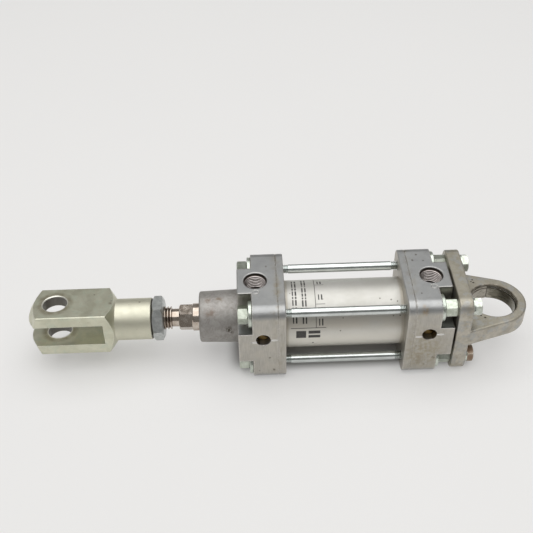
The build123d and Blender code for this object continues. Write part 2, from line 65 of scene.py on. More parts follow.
# ---- node materials -----------------------------------------------------------------------
class Finish:
    """A Principled material whose patterns are laid out in millimetres of the object's own space."""

    def __init__(self, name, metallic=1.0, turn=0.0, **constants):
        self.material = bpy.data.materials.new(name)
        self.material.use_nodes = True
        self.tree = self.material.node_tree
        self.shader = self.tree.nodes["Principled BSDF"]
        self.shader.inputs["Metallic"].default_value = metallic
        for socket, value in constants.items():
            self.shader.inputs[socket.replace("_", " ")].default_value = value
        coordinates = self.add("ShaderNodeTexCoord")
        self.own_normal = coordinates.outputs["Normal"]
        self.place = self.scaled(coordinates.outputs["Object"], (1 / MM,) * 3)
        if turn:
            self.own_normal = self.turned(self.own_normal, turn)
            self.place = self.turned(self.place, turn)
        self.heights = None                      # last normal of the chain that dent adds to

    def add(self, kind, **settings):
        node = self.tree.nodes.new(kind)
        for key, value in settings.items():
            setattr(node, key, value)
        return node

    def feed(self, socket, value):
        if isinstance(value, bpy.types.NodeSocket):
            self.tree.links.new(value, socket)
        elif isinstance(value, (tuple, list)) and socket.type == "RGBA":
            socket.default_value = (*value, 1.0)
        else:
            socket.default_value = value

    def scaled(self, vector, factors):
        node = self.add("ShaderNodeVectorMath", operation="MULTIPLY")
        self.feed(node.inputs[0], vector)
        node.inputs[1].default_value = factors
        return node.outputs[0]

    def turned(self, vector, degrees):
        """Vector in a frame that stands turned about the cylinder's axis."""
        node = self.add("ShaderNodeVectorRotate", rotation_type="X_AXIS")
        self.feed(node.inputs["Vector"], vector)
        node.inputs["Angle"].default_value = math.radians(degrees)
        return node.outputs[0]

    def math(self, operation, a, b=0.0, clamp=False):
        node = self.add("ShaderNodeMath", operation=operation, use_clamp=clamp)
        self.feed(node.inputs[0], a)
        self.feed(node.inputs[1], b)
        return node.outputs[0]

    def level(self, value, low, high, to_low=0.0, to_high=1.0):
        """Value from low..high to to_low..to_high, with soft ends."""
        node = self.add("ShaderNodeMapRange", interpolation_type="SMOOTHSTEP")
        for socket, number in zip(node.inputs[:5], (value, low, high, to_low, to_high)):
            self.feed(socket, number)
        return node.outputs[0]

    def noise(self, size, detail=3.0, rough=0.55, stretch=(1, 1, 1), shift=0.0, distort=0.0):
        """Fractal noise, 0 to 1, whose lumps are about size millimetres across."""
        vector = self.scaled(self.place, tuple(1 / (size * s) for s in stretch))
        if shift:
            moved = self.add("ShaderNodeVectorMath", operation="ADD")
            self.feed(moved.inputs[0], vector)
            moved.inputs[1].default_value = (shift, shift * 1.7, shift * 2.3)
            vector = moved.outputs[0]
        node = self.add("ShaderNodeTexNoise")
        self.feed(node.inputs["Vector"], vector)
        for socket, number in (("Scale", 1.0), ("Detail", detail), ("Roughness", rough),
                               ("Distortion", distort)):
            node.inputs[socket].default_value = number
        return node.outputs["Fac"]

    def specks(self, spacing, radius, keep=0.5, shift=0.0):
        """Scattered dots: 1 in a dot, 0 outside. Keep is the share of the cells that have one."""
        vector = self.scaled(self.place, (1 / spacing,) * 3)
        moved = self.add("ShaderNodeVectorMath", operation="ADD")
        self.feed(moved.inputs[0], vector)
        moved.inputs[1].default_value = (shift, shift * 1.3, shift * 0.7)
        cells = self.add("ShaderNodeTexVoronoi")
        self.feed(cells.inputs["Vector"], moved.outputs[0])
        cells.inputs["Scale"].default_value = 1.0
        dot = self.level(cells.outputs["Distance"], radius / spacing, radius / spacing * 0.6)
        split = self.add("ShaderNodeSeparateColor")
        self.feed(split.inputs[0], cells.outputs["Color"])
        return self.math("MULTIPLY", dot, self.math("LESS_THAN", split.outputs[0], keep))

    def near(self, point, radius, soft=0.5, stretch=(1, 1, 1)):
        """1 within radius of a point, fading to 0 over the outer share soft of it."""
        away = self.add("ShaderNodeVectorMath", operation="SUBTRACT")
        self.feed(away.inputs[0], self.place)
        away.inputs[1].default_value = point
        length = self.add("ShaderNodeVectorMath", operation="LENGTH")
        self.feed(length.inputs[0], self.scaled(away.outputs[0], tuple(1 / s for s in stretch)))
        return self.level(length.outputs["Value"], radius, radius * (1 - soft))

    def axis(self, vector, name):
        split = self.add("ShaderNodeSeparateXYZ")
        self.feed(split.inputs[0], vector)
        return split.outputs[name]

    def facing(self, name, low, high):
        """0 where the surface's own normal has less than low along an axis, 1 above high."""
        return self.level(self.axis(self.own_normal, name), low, high)

    def ring(self, centre, axis, inner, outer):
        """1 beside a round hole at radius inner, fading to 0 at radius outer."""
        keep = {"X": (0, 1, 1), "Y": (1, 0, 1), "Z": (1, 1, 0)}[axis]
        away = self.add("ShaderNodeVectorMath", operation="SUBTRACT")
        self.feed(away.inputs[0], self.place)
        away.inputs[1].default_value = centre
        length = self.add("ShaderNodeVectorMath", operation="LENGTH")
        self.feed(length.inputs[0], self.scaled(away.outputs[0], keep))
        return self.level(length.outputs["Value"], outer, inner)

    def edges(self, radius, low=0.02, high=0.25):
        """1 on sharp edges, from how far a bevel of that radius would turn the normal."""
        bevel = self.add("ShaderNodeBevel", samples=4)
        bevel.inputs["Radius"].default_value = radius * MM
        geometry = self.add("ShaderNodeNewGeometry")
        dot = self.add("ShaderNodeVectorMath", operation="DOT_PRODUCT")
        self.feed(dot.inputs[0], bevel.outputs[0])
        self.feed(dot.inputs[1], geometry.outputs["Normal"])
        return self.level(self.math("SUBTRACT", 1.0, dot.outputs["Value"]), low, high)

    def soften(self, radius):
        """Shades sharp edges as if they were rounded to that radius."""
        bevel = self.add("ShaderNodeBevel", samples=6)
        bevel.inputs["Radius"].default_value = radius * MM
        self.heights = bevel.outputs[0]

    def most(self, *values):
        result = values[0]
        for value in values[1:]:
            result = self.math("MAXIMUM", result, value)
        return result

    def times(self, *values):
        result = values[0]
        for value in values[1:]:
            result = self.math("MULTIPLY", result, value)
        return result

    def mix(self, factor, a, b):
        node = self.add("ShaderNodeMix", data_type="RGBA")
        self.feed(node.inputs["Factor"], factor)
        self.feed(node.inputs[6], a)
        self.feed(node.inputs[7], b)
        return node.outputs[2]

    def dent(self, height, depth, strength):
        """Adds a height pattern; depth is its full range in millimetres."""
        node = self.add("ShaderNodeBump")
        node.inputs["Distance"].default_value = depth * MM
        node.inputs["Strength"].default_value = strength
        self.feed(node.inputs["Height"], height)
        if self.heights is not None:
            self.feed(node.inputs["Normal"], self.heights)
        self.heights = node.outputs[0]

    def done(self, colour, rough):
        self.feed(self.shader.inputs["Base Color"], colour)
        self.feed(self.shader.inputs["Roughness"], rough)
        if self.heights is not None:
            self.feed(self.shader.inputs["Normal"], self.heights)
        return self.material


def give(material, *names):
    for name in names:
        mesh = NODES[name].data
        mesh.materials.clear()
        mesh.materials.append(material)


def cover_finish(name, port_x, seam_x, stakes, spots, smears, nose_x=None):
    """Die-cast aluminium: smooth skin on top, fine upright grain on the sides, handling marks. The sides'
    lighter, warmer tone is partly a painted reflection of the floor, and the edges, hole walls and stake
    cuts carry painted highlight and shade.
    """
    f = Finish(name)
    f.soften(0.8)
    side = f.math("SUBTRACT", 1.0, f.math("ABSOLUTE", f.axis(f.own_normal, "Z")))
    side = f.level(side, 0.45, 0.95)
    cloud = f.noise(9, 4, 0.6)
    fine = f.noise(0.55, 3, 0.6, shift=5)
    grain = f.noise(0.32, 3, 0.6, stretch=(1, 1, 16), shift=11)
    # the sides are painted lighter and warmer than the top: the grain is real, the tone is partly a painted
    # reflection of the floor
    skin = f.mix(f.level(cloud, 0.3, 0.7), (0.36, 0.365, 0.365), (0.43, 0.435, 0.43))
    worn = f.mix(f.level(grain, 0.3, 0.7), (0.41, 0.39, 0.35), (0.52, 0.50, 0.46))
    lighter = f.level(f.noise(5, 3, 0.6, shift=23), 0.42, 0.62)
    worn = f.mix(f.times(lighter, 0.35), worn, (0.56, 0.53, 0.46))
    colour = f.mix(side, skin, worn)
    dirt = f.level(f.noise(2.2, 5, 0.65, shift=3), 0.58, 0.76)
    colour = f.mix(f.times(dirt, 0.4), colour, (0.20, 0.17, 0.13))
    # painted highlight along the sharp edges, standing in for bright rounded lips
    colour = f.mix(f.times(f.edges(0.9, 0.01, 0.16), 0.75), colour, (0.84, 0.82, 0.78))
    seam = f.math("ABSOLUTE", f.math("SUBTRACT", f.axis(f.place, "X"), seam_x))
    broken = f.times(f.level(f.noise(2.0, 4, 0.6, shift=19), 0.35, 0.60),
                     f.level(side, 0.0, 1.0, 0.65, 0.12))
    colour = f.mix(f.times(f.level(seam, 0.34, 0.10), broken), colour, (0.15, 0.13, 0.10))
    beside = f.times(f.level(seam, 3.4, 0.4), f.level(f.noise(3.0, 4, 0.6, shift=17), 0.45, 0.65))
    colour = f.mix(f.times(beside, 0.3), colour, (0.30, 0.26, 0.18))
    rough = f.level(fine, 0.2, 0.8, 0.40, 0.52)
    rough = f.math("ADD", rough, f.times(side, f.level(grain, 0.3, 0.7, 0.0, 0.08)))
    # painted shade on the wall of the air port
    port = f.ring((port_x, 0, 0), "Z", PORT_WALL_R + 0.02, PORT_WALL_R + 0.10)
    colour = f.mix(f.times(port, 0.9), colour, (0.10, 0.08, 0.07))
    # painted shade on the wall of the cushion screw hole
    across = f.math("SUBTRACT", 1.0, f.math("ABSOLUTE", f.axis(f.own_normal, "Y")), clamp=True)
    screw_hole = f.times(f.ring((port_x, 0, SCREW_Z), "Y", SCREW_HOLE_R, SCREW_HOLE_R + 0.1), across)
    colour = f.mix(f.times(screw_hole, 0.85), colour, (0.10, 0.08, 0.05))
    if nose_x is not None:
        on_nose = f.level(f.axis(f.place, "X"), nose_x + 0.3, nose_x - 0.3)
        blotch = f.level(f.noise(2.6, 5, 0.68, shift=21, distort=0.6), 0.30, 0.72)
        cast = f.mix(blotch, (0.44, 0.425, 0.405), (0.33, 0.315, 0.295))
        scuff = f.level(f.noise(1.3, 4, 0.6, stretch=(2.2, 1, 1), shift=31), 0.60, 0.74)
        cast = f.mix(f.times(scuff, 0.4), cast, (0.20, 0.14, 0.10))
        colour = f.mix(on_nose, colour, cast)
        grit = f.noise(0.30, 2, 0.7, shift=41)
        rough = f.math("ADD", rough, f.times(on_nose, 0.16))
        f.dent(f.times(grit, on_nose), 0.05, 0.8)
    for point, radius in spots:
        ragged = f.level(f.noise(0.6, 3, shift=point[0]), 0.35, 0.60)
        mark = f.times(f.near(point, radius, 0.7), ragged)
        colour = f.mix(f.times(mark, 0.85), colour, (0.09, 0.075, 0.055))
    for point, radius, stretch, tint in smears:
        ragged = f.level(f.noise(1.6, 4, shift=point[0] + 7), 0.30, 0.66)
        colour = f.mix(f.times(f.near(point, radius, 0.9, stretch), ragged, 0.8), colour, tint)
    # painted glint: the stake cuts are painted near white and made less metallic
    cut = f.most(*(f.near(point, 1.9, 0.25, (1.0, 0.6, 0.30)) for point in stakes))
    colour = f.mix(cut, colour, (0.97, 0.96, 0.93))
    f.feed(f.shader.inputs["Metallic"], f.math("SUBTRACT", 1.0, f.times(cut, 0.35)))
    f.dent(f.times(grain, side), 0.02, 0.55)
    f.dent(cloud, 0.10, 0.35)
    f.dent(fine, 0.012, 0.5)
    return f.done(colour, rough)


# dark spots (place, radius), smears (place, radius, stretch, colour) and stakes beside the screws, whose
# brightness is a painted glint
FRONT_SPOTS = [((-98.4, 8.8, 20.0), 0.75), ((-98.0, -20.0, -6.2), 0.7), ((-96.4, -20.0, -13.6), 0.9),
               ((-115.0, -10.8, 2.9), 1.7), ((-102.5, -20.0, -14.0), 0.5),
               ((-115.0, -11.0, 2.2), 1.6), ((-113.6, -11.1, 1.0), 1.1)]
FRONT_SMEARS = [((-100.6, -20.0, 4.5), 4.3, (1, 1, 1), (0.30, 0.25, 0.19)),
                ((-103.2, 0.0, 20.0), 6.0, (1, 1, 1), (0.36, 0.35, 0.34)),
                ((-94.3, -4.0, 20.0), 6.0, (0.3, 2.2, 1), (0.36, 0.32, 0.24)),
                ((-123.5, -1.5, 11.0), 2.4, (1, 1, 1), (0.22, 0.16, 0.12)),
                ((-119.0, -1.4, 11.0), 2.2, (1.3, 1, 1), (0.24, 0.18, 0.13)),
                ((-122.5, -7.0, 8.6), 3.0, (1.4, 1, 1), (0.26, 0.20, 0.16))]
REAR_SPOTS = [((-35.2, 9.7, 20.0), 0.9), ((-33.3, 13.3, 20.0), 0.8), ((-30.8, 9.1, 20.0), 0.7),
              ((-34.7, -11.2, 20.0), 0.6), ((-28.4, -20.0, -9.5), 1.1), ((-36.5, -20.0, -2.0), 0.5),
              ((-32.0, -20.0, -13.5), 0.6), ((-38.0, -20.0, 6.0), 0.4)]
REAR_SMEARS = [((-34.3, -19.0, 17.5), 3.2, (0.6, 1, 1.1), (0.40, 0.26, 0.10)),
               ((-31.4, -20.0, 4.5), 4.6, (1, 1, 1), (0.30, 0.25, 0.19)),
               ((-28.8, 0.0, 20.0), 6.0, (1, 1, 1), (0.38, 0.37, 0.36)),
               ((-33.0, -20.0, -5.0), 18.0, (0.8, 1, 1), (0.36, 0.32, 0.235)),
               ((-35.0, -20.0, -10.0), 5.0, (0.7, 1, 1.2), (0.32, 0.28, 0.21))]
FRONT_STAKES = [(-103.9, -20.0, 3.3), (-96.0, -20.0, 4.3)]
REAR_STAKES = [(-35.45, -20.0, 3.3), (-26.8, -20.0, 4.3)]
give(cover_finish("cast_front", PORT_X["front"], SEAM_X["front"], FRONT_STAKES, FRONT_SPOTS, FRONT_SMEARS,
                  NOSE_X), "front_cover")
give(cover_finish("cast_rear", PORT_X["rear"], SEAM_X["rear"], REAR_STAKES, REAR_SPOTS, REAR_SMEARS),
     "rear_cover")


# casting pits beside the eye: place, radius
BRACKET_PITS = [((-6.4, 13.4, 4.0), 0.45), ((-6.3, 11.5, 4.0), 0.55), ((-7.2, 12.2, 4.0), 0.4),
                ((-7.4, -9.2, 4.0), 0.5), ((-5.9, -10.6, 4.0), 0.55)]


def bracket_finish():
    """Sand-cast aluminium: clouded and pitted, with a crescent nick on the lug."""
    f = Finish("cast_bracket")
    f.soften(0.5)
    upward = f.facing("Z", 0.5, 0.9)
    cloud = f.noise(4.5, 5, 0.66, distort=0.4)
    sand = f.noise(0.8, 4, 0.62, shift=4)
    colour = f.mix(f.level(cloud, 0.34, 0.66), (0.405, 0.375, 0.315), (0.535, 0.505, 0.44))
    # the upward faces are painted darker: a painted reflection of the dim surroundings above
    colour = f.mix(f.times(upward, 0.5), colour, (0.32, 0.30, 0.235))
    grey = f.level(f.noise(4, 4, 0.6, shift=9), 0.50, 0.62)
    colour = f.mix(f.times(grey, 0.6), colour, (0.40, 0.41, 0.41))
    colour = f.mix(f.times(f.level(sand, 0.55, 0.80), 0.5), colour, (0.24, 0.22, 0.18))
    colour = f.mix(f.times(f.edges(0.5, 0.02, 0.25), 0.4), colour, (0.66, 0.65, 0.60))
    for point, radius in BRACKET_PITS:
        colour = f.mix(f.times(f.near(point, radius, 0.5), 0.9), colour, (0.06, 0.05, 0.04))
        f.dent(f.near(point, radius, 0.8), -0.25, 1.0)
    bore = f.ring((0, 0, 0), "Z", LINER_SEAT_R, 10.9)
    colour = f.mix(f.times(bore, f.level(f.noise(1.5, 4, shift=2), 0.3, 0.6), 0.75),
                   colour, (0.14, 0.12, 0.09))
    disc, bite = (f.ring(centre, "Z", 1.9, 2.1) for centre in ((7.3, -4.7, 0), (7.9, -4.2, 0)))
    nick = f.times(disc, f.math("SUBTRACT", 1.0, bite))
    colour = f.mix(f.times(nick, 0.55), colour, (0.22, 0.20, 0.16))
    f.dent(nick, -0.08, 0.8)
    f.dent(cloud, 0.14, 0.4)
    f.dent(sand, 0.05, 0.6)
    f.dent(f.noise(0.22, 2, 0.6, shift=14), 0.015, 0.5)
    return f.done(colour, f.level(sand, 0.25, 0.75, 0.42, 0.58))


give(bracket_finish(), "eye_bracket")


# dark specks on the barrel: place along it, degrees from the top towards -Y, radius
TUBE_SPECKS = [(-69.4, 45, 0.45), (-66.8, 56, 0.35), (-67.9, 79, 0.4), (-57.1, -29, 0.35),
               (-74.9, 23, 0.3), (-50.9, 25, 0.4), (-46.2, 28, 0.45), (-43.6, 31, 0.4),
               (-45.6, 55, 0.35), (-42.8, 55, 0.4), (-88.7, 10, 0.3)]


def tube_finish():
    """Anodised barrel: painted lighter below and darker on top, with a band of painted shade under the upper
    tie rods, darker rings beside the covers, and specks.
    """
    f = Finish("anodised_tube", metallic=0.75)
    turn = f.noise(0.12, 2, 0.5, stretch=(1, 60, 60))
    cloud = f.noise(12, 3, 0.5, shift=2)
    colour = f.mix(f.level(cloud, 0.3, 0.7), (0.53, 0.52, 0.48), (0.59, 0.58, 0.545))
    colour = f.mix(f.times(f.specks(6.1, 0.20, 0.30), 0.9), colour, (0.12, 0.11, 0.08))
    colour = f.mix(f.times(f.specks(9.3, 0.32, 0.30, shift=3.1), 0.8), colour, (0.20, 0.17, 0.12))
    # painted light: the lower part of the tube is painted lighter than its top
    painted_light_below = f.level(f.axis(f.place, "Z"), 6.5, -3.0)
    colour = f.mix(painted_light_below, colour, (0.74, 0.715, 0.65))
    # painted shade: a darker band below the upper tie rods, made patchy by the cloud
    grime_and_painted_shade = f.times(f.level(f.axis(f.place, "Z"), 9.5, 7.0), f.level(f.axis(f.place, "Z"), 2.0, 5.5),
                    f.level(cloud, 0.25, 0.6))
    colour = f.mix(f.times(grime_and_painted_shade, 0.35), colour, (0.46, 0.40, 0.30))
    for x, angle, radius in TUBE_SPECKS:
        point = (x, -TUBE_R * math.sin(math.radians(angle)), TUBE_R * math.cos(math.radians(angle)))
        colour = f.mix(f.times(f.near(point, radius, 0.6), 0.85), colour, (0.08, 0.065, 0.05))
    for x in TUBE_DARK_RING_X:
        band = f.level(f.math("ABSOLUTE", f.math("SUBTRACT", f.axis(f.place, "X"), x)), 1.2, 0.3)
        colour = f.mix(f.times(band, 0.55), colour, (0.42, 0.38, 0.30))
    f.dent(turn, 0.006, 0.5)
    return f.done(colour, f.level(f.noise(1.5, 3, shift=6), 0.3, 0.7, 0.44, 0.52))


give(tube_finish(), "barrel_tube")


def zinc_finish(name, light, dark, rough, mottle=3.0, stain=None, streak=None, worn=True):
    """Electroplated zinc: faintly clouded, with fine turning marks if streak is given.

    Stain is a place, a radius and a colour. Without worn there are no bright edges and no clouded dents.
    """
    f = Finish(name)
    cloud = f.noise(mottle, 4, 0.6)
    colour = f.mix(f.level(cloud, 0.32, 0.68), dark, light)
    grime_and_painted_shade = f.level(f.noise(1.1, 4, 0.6, shift=8), 0.60, 0.80)
    colour = f.mix(f.times(grime_and_painted_shade, 0.35), colour, tuple(0.4 * c for c in dark))
    if worn:
        colour = f.mix(f.times(f.edges(0.25, 0.03, 0.3), 0.5), colour, (0.88, 0.89, 0.86))
    if stain:
        point, radius, tint = stain
        colour = f.mix(f.times(f.near(point, radius, 0.3), 0.9), colour, tint)
    if streak:
        f.dent(f.noise(0.15, 2, 0.5, stretch=streak), 0.002, 0.5)
    if worn:
        f.dent(cloud, 0.015, 0.3)
    return f.done(colour, f.level(f.noise(1.1, 3, shift=2), 0.3, 0.7, *rough))


give(zinc_finish("zinc_rods", (0.66, 0.69, 0.68), (0.54, 0.57, 0.55), (0.13, 0.19), mottle=6, worn=False),
     "tie_rods")
give(zinc_finish("zinc_washers", (0.66, 0.70, 0.63), (0.48, 0.52, 0.46), (0.26, 0.38), streak=(1, 1, 12)),
     "front_tie_rod_washers", "rear_tie_rod_washers", "bracket_lock_washers")
give(zinc_finish("zinc_nuts", (0.62, 0.655, 0.575), (0.42, 0.455, 0.38), (0.28, 0.40), mottle=1.8),
     "front_tie_rod_nuts", "rear_tie_rod_nuts")
give(zinc_finish("zinc_screws", (0.64, 0.67, 0.62), (0.44, 0.47, 0.40), (0.26, 0.38), mottle=1.8,
                 stain=(LOWER_SCREW, 5.0, (0.235, 0.145, 0.095))), "bracket_screws")


# dark marks on the fork: place, radius
FORK_MARKS = [((-172.7, 5.2, 10.0), 0.55), ((-165.4, -0.9, 10.0), 1.0), ((-164.9, 0.6, 9.6), 0.8),
              ((-153.0, 0.4, 9.0), 0.7)]


def fork_finish():
    """Yellow-green passivated zinc: milled square, turned neck, burnish round the pin hole."""
    f = Finish("passivated_fork", turn=FORK_TURN)
    f.soften(0.35)
    cloud = f.noise(6, 5, 0.6, distort=0.4)
    green = f.noise(3.2, 4, 0.6, shift=12)
    colour = f.mix(f.level(cloud, 0.3, 0.7), (0.545, 0.54, 0.42), (0.655, 0.65, 0.525))
    colour = f.mix(f.times(f.level(green, 0.45, 0.7), 0.5), colour, (0.52, 0.57, 0.47))
    neck = f.level(f.axis(f.place, "X"), *FORK_NECK_X)
    colour = f.mix(f.times(neck, 0.8), colour, (0.66, 0.645, 0.53))
    flat = f.level(f.math("ABSOLUTE", f.axis(f.own_normal, "Z")), 0.9, 0.98)
    hole = (FORK_HOLE_X, 0, 0)
    patchy = f.level(f.noise(2.6, 3, 0.6, shift=27), 0.30, 0.62, 0.35, 1.0)
    burnish = f.times(f.ring(hole, "Z", 6.4, 8.6), flat, patchy)
    colour = f.mix(f.times(burnish, 0.7), colour, (0.30, 0.26, 0.175))
    # painted highlight: a bright ring at the edge of the pin hole
    rim = f.math("SUBTRACT", f.ring(hole, "Z", 5.35, 5.75), f.ring(hole, "Z", 4.8, 5.02))
    colour = f.mix(f.times(rim, 0.85), colour, (0.88, 0.87, 0.80))
    # painted shade: the wall of the pin hole is painted near black and made less metallic
    inside = f.math("SUBTRACT", f.ring(hole, "Z", 5.04, 5.10), flat, clamp=True)
    colour = f.mix(f.times(inside, 0.85), colour, (0.050, 0.040, 0.034))
    f.feed(f.shader.inputs["Metallic"], f.math("SUBTRACT", 1.0, f.times(inside, 0.85)))
    joint = f.level(f.axis(f.place, "X"), FORK_FACE - 0.45, FORK_FACE - 0.2)
    colour = f.mix(f.times(joint, 0.9), colour, (0.06, 0.05, 0.04))
    wear = f.level(f.noise(1.4, 4, 0.6, shift=5), 0.62, 0.74)
    colour = f.mix(f.times(wear, 0.28), colour, (0.30, 0.25, 0.19))
    colour = f.mix(f.times(f.specks(3.4, 0.16, 0.35), 0.7), colour, (0.16, 0.13, 0.10))
    for point, radius in FORK_MARKS:
        mark = f.times(f.near(point, radius, 0.7), f.level(f.noise(0.5, 3, shift=3), 0.35, 0.6))
        colour = f.mix(f.times(mark, 0.8), colour, (0.16, 0.12, 0.08))
    # painted highlight along the sharp edges
    colour = f.mix(f.times(f.edges(0.45, 0.02, 0.22), 0.7), colour, (0.86, 0.86, 0.76))
    turning = f.noise(0.14, 2, 0.5, stretch=(1, 40, 40), shift=1)
    f.dent(f.times(turning, neck), 0.010, 0.7)
    milled = f.noise(0.22, 2, 0.5, stretch=(14, 1, 1), shift=2)
    f.dent(milled, 0.010, 0.35)
    f.dent(cloud, 0.05, 0.3)
    return f.done(colour, f.math("ADD", f.level(green, 0.3, 0.7, 0.33, 0.43), f.times(neck, 0.13)))


give(fork_finish(), "fork_clevis")
give(zinc_finish("dull_zinc_nut", (0.62, 0.64, 0.63), (0.45, 0.47, 0.46), (0.32, 0.44), mottle=2.2),
     "jam_nut")


def rod_finish():
    """Polished steel with oil smears, and dark roots in the thread at its outer end."""
    f = Finish("polished_rod")
    smear = f.noise(2.4, 4, 0.6)
    colour = f.mix(f.level(smear, 0.3, 0.7), (0.44, 0.37, 0.31), (0.60, 0.54, 0.48))
    oil = f.level(f.noise(1.2, 4, 0.6, shift=7), 0.58, 0.72)
    colour = f.mix(f.times(oil, 0.45), colour, (0.30, 0.23, 0.17))
    radius = f.add("ShaderNodeVectorMath", operation="LENGTH")
    f.feed(radius.inputs[0], f.scaled(f.place, (0, 1, 1)))
    root = f.times(f.level(radius.outputs["Value"], 4.75, 4.35),
                   f.level(f.axis(f.place, "X"), -139.0, -139.6))
    colour = f.mix(f.times(root, 0.85), colour, (0.16, 0.11, 0.08))
    f.dent(f.noise(0.10, 2, 0.5, stretch=(1, 30, 30)), 0.001, 0.5)
    return f.done(colour, f.level(smear, 0.3, 0.7, 0.12, 0.20))


give(rod_finish(), "piston_rod")


def plain_finish(name, light, dark, rough, metallic=1.0, size=1.5, stretch=(1, 1, 1)):
    """A faintly clouded material for the inner pieces, with fine streaks if stretch says so."""
    f = Finish(name, metallic)
    cloud = f.noise(size, 4, 0.6)
    fine = f.noise(size * 0.15, 2, 0.5, stretch=stretch, shift=6)
    colour = f.mix(f.level(cloud, 0.3, 0.7), dark, light)
    f.dent(fine, 0.01, 0.6)
    return f.done(colour, f.level(fine, 0.25, 0.75, *rough))


give(plain_finish("screw_brass", (0.40, 0.27, 0.10), (0.17, 0.115, 0.05), (0.30, 0.45)),
     "front_cushion_screw", "rear_cushion_screw")
give(plain_finish("bush_bronze", (0.62, 0.44, 0.24), (0.48, 0.33, 0.17), (0.25, 0.38), stretch=(1, 12, 12)),
     "rod_bush")
give(plain_finish("inner_aluminium", (0.78, 0.78, 0.78), (0.68, 0.68, 0.68), (0.20, 0.32),
                  stretch=(1, 20, 20)), "piston", "front_cushion_sleeve", "rear_cushion_sleeve")
give(plain_finish("piston_nut_steel", (0.50, 0.50, 0.49), (0.38, 0.38, 0.37), (0.28, 0.40)), "piston_nut")
give(plain_finish("black_rubber", (0.030, 0.030, 0.030), (0.018, 0.018, 0.018), (0.48, 0.62), 0.0),
     "front_tube_o_ring", "rear_tube_o_ring", "piston_seals", "piston_o_ring",
     "front_cushion_screw_o_ring", "rear_cushion_screw_o_ring")
give(plain_finish("red_brown_seal", (0.26, 0.10, 0.06), (0.19, 0.07, 0.045), (0.35, 0.48), 0.0),
     "rod_seal", "front_cushion_seal", "rear_cushion_seal")
give(plain_finish("ptfe_ring", (0.80, 0.79, 0.75), (0.70, 0.69, 0.64), (0.40, 0.52), 0.0),
     "piston_guide_ring")


def liner_finish():
    """Steel liner of the eye: light band below, darker towards +X."""
    f = Finish("oily_liner")
    darker_to_plus_x = f.level(f.math("ADD", f.axis(f.place, "X"), f.times(f.noise(3.5, 4, 0.6), 6.0)), 1.5, 6.0)
    streak = f.level(f.noise(0.9, 4, 0.6, stretch=(2.5, 2.5, 0.6), shift=4), 0.4, 0.7)
    colour = f.mix(streak, (0.46, 0.43, 0.375), (0.22, 0.205, 0.17))
    colour = f.mix(f.times(darker_to_plus_x, 0.8), colour, f.mix(streak, (0.16, 0.15, 0.11), (0.07, 0.065, 0.05)))
    f.dent(f.noise(0.3, 3, 0.6, shift=9), 0.02, 0.6)
    return f.done(colour, f.math("SUBTRACT", 0.38, f.times(darker_to_plus_x, 0.14)))


give(liner_finish(), "eye_bush", "eye_snap_ring")


# ---- pieces made here ---------------------------------------------------------------------
def new_object(name, bm, material):
    mesh = bpy.data.meshes.new(name)
    bm.to_mesh(mesh)
    bm.free()
    mesh.materials.append(material)
    obj = bpy.data.objects.new(name, mesh)
    bpy.context.scene.collection.objects.link(obj)
    return obj


def piece(name, bm, material, body):
    """A visible piece that moves with a body."""
    bmesh.ops.recalc_face_normals(bm, faces=bm.faces)
    obj = new_object(name, bm, material)
    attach(obj, body)


def skin(bm, loops):
    """Joins loops of four corners into a closed bar."""
    for a, b in zip(loops, loops[1:]):
        for k in range(4):
            bm.faces.new((a[k], a[(k + 1) % 4], b[(k + 1) % 4], b[k]))
    bm.faces.new(loops[0])
    bm.faces.new(loops[-1])


THREAD_PITCH = 0.907                             # G1/8, 28 turns to the inch
THREAD_DEPTH = 0.52
RIDGE_HALF_ROOT, RIDGE_HALF_CREST = 0.44, 0.07
IN_WALL = 0.02                                   # how far the ridge goes into the wall
MOUTH_PLAIN = 0.75                               # smooth length at the port's mouth
END_PLAIN = 0.9                                  # length that the turns leave free in all
THINNEST = 0.03                                  # share of the depth left at the ridge's ends
STEPS_PER_TURN = 56


def port_thread(side, material):
    """Helical ridge that stands out from the plain wall of an air port."""
    mount = MOUNTS[side + "_port"]
    wall_r, length = mount["dims"]["r_mm"], mount["dims"]["length_mm"]
    top = COVER_TOP - MOUTH_PLAIN
    steps = int((length - END_PLAIN) / THREAD_PITCH) * STEPS_PER_TURN
    root_r, crest_r = wall_r + IN_WALL, wall_r - THREAD_DEPTH
    section = [(root_r, -RIDGE_HALF_ROOT), (crest_r, -RIDGE_HALF_CREST),
               (crest_r, RIDGE_HALF_CREST), (root_r, RIDGE_HALF_ROOT)]
    bm = bmesh.new()
    loops = []
    for i in range(steps + 1):
        angle = 2 * math.pi * i / STEPS_PER_TURN
        # the ridge rises over its first half turn and falls over its last
        grow = min(1.0, i / STEPS_PER_TURN * 2, (steps - i) / STEPS_PER_TURN * 2)
        loops.append([])
        for r, dz in section:
            r = root_r - (root_r - r) * max(grow, THINNEST)
            z = top - THREAD_PITCH * (i / STEPS_PER_TURN + 0.5 - dz)
            loops[-1].append(bm.verts.new(((PORT_X[side] + r * math.cos(angle)) * MM,
                                           -r * math.sin(angle) * MM, z * MM)))
    skin(bm, loops)
    piece(side + "_port_thread", bm, material, "cylinder")


